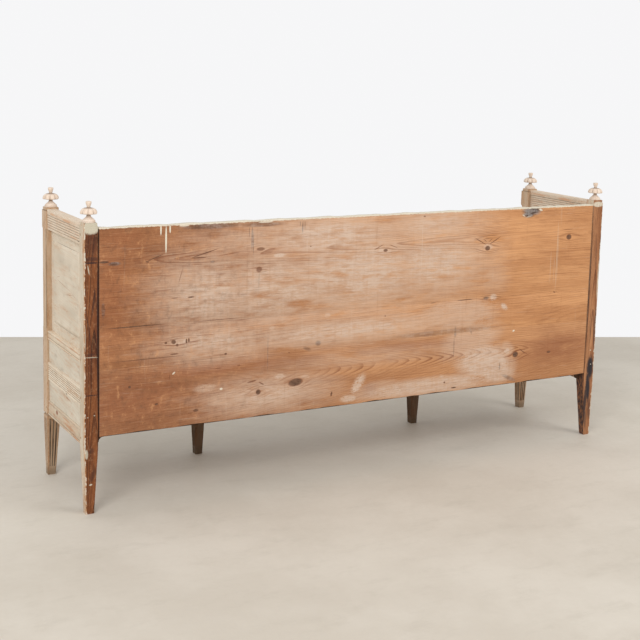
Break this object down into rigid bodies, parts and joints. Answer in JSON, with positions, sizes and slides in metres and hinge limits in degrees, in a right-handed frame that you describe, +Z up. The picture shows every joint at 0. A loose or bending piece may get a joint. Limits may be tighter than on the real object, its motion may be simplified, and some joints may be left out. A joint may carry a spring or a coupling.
{
  "type": "bench",
  "caption": "Long painted pine bench with high panelled ends, a boarded back, reeded rails, fluted tapered legs and turned corner finials.",
  "frame": {"origin": "on the floor, under the middle of the bench's length and depth", "axes": "+X along the bench to its right end as seen from the front, +Y to the back, +Z up"},
  "size_m": [2.0074, 0.4377, 0.964],
  "materials": {
    "worn_paint": "old grey-cream paint, worn through to bare pine along the mouldings",
    "dark_pine": "bare, dark brown with age",
    "back_pine": "bare, orange-brown with age, with pale washed patches",
    "seat_pine": "bare, dull",
    "bare_finial": "pale turned wood with traces of paint",
    "peg_wood": "bare, dull"
  },
  "bodies": {
    "root": {"front_seat_rail": "worn_paint", "front_bottom_rail_centre": "worn_paint", "front_bottom_rail_right": "worn_paint", "front_bottom_rail_left": "worn_paint", "front_panel_centre": "worn_paint", "front_panel_right": "worn_paint", "front_panel_left": "worn_paint", "right_end_top_rail": "worn_paint", "right_end_middle_rail": "worn_paint", "right_end_seat_rail": "worn_paint", "right_end_bottom_rail": "worn_paint", "right_end_upper_panel": "worn_paint", "right_end_narrow_panel": "worn_paint", "right_end_lower_panel": "worn_paint", "right_front_post": "worn_paint", "right_middle_leg": "worn_paint", "left_end_top_rail": "worn_paint", "left_end_middle_rail": "worn_paint", "left_end_seat_rail": "worn_paint", "left_end_bottom_rail": "worn_paint", "left_end_upper_panel": "worn_paint", "left_end_narrow_panel": "worn_paint", "left_end_lower_panel": "worn_paint", "left_front_post": "worn_paint", "left_middle_leg": "worn_paint", "right_back_post": "dark_pine", "left_back_post": "dark_pine", "back_top_board": "back_pine", "back_middle_board": "back_pine", "back_bottom_board": "back_pine", "back_seat_rail": "seat_pine", "back_bottom_rail": "seat_pine", "seat_front_board": "seat_pine", "seat_middle_board": "seat_pine", "seat_back_board": "seat_pine", "seat_bearer_1": "seat_pine", "seat_bearer_2": "seat_pine", "seat_bearer_3": "seat_pine", "right_end_ledger": "seat_pine", "left_end_ledger": "seat_pine", "right_end_pegs": "peg_wood", "left_end_pegs": "peg_wood", "right_front_pegs": "peg_wood", "left_front_pegs": "peg_wood", "front_finials": "bare_finial", "back_finials": "bare_finial"}
  },
  "joints": []
}
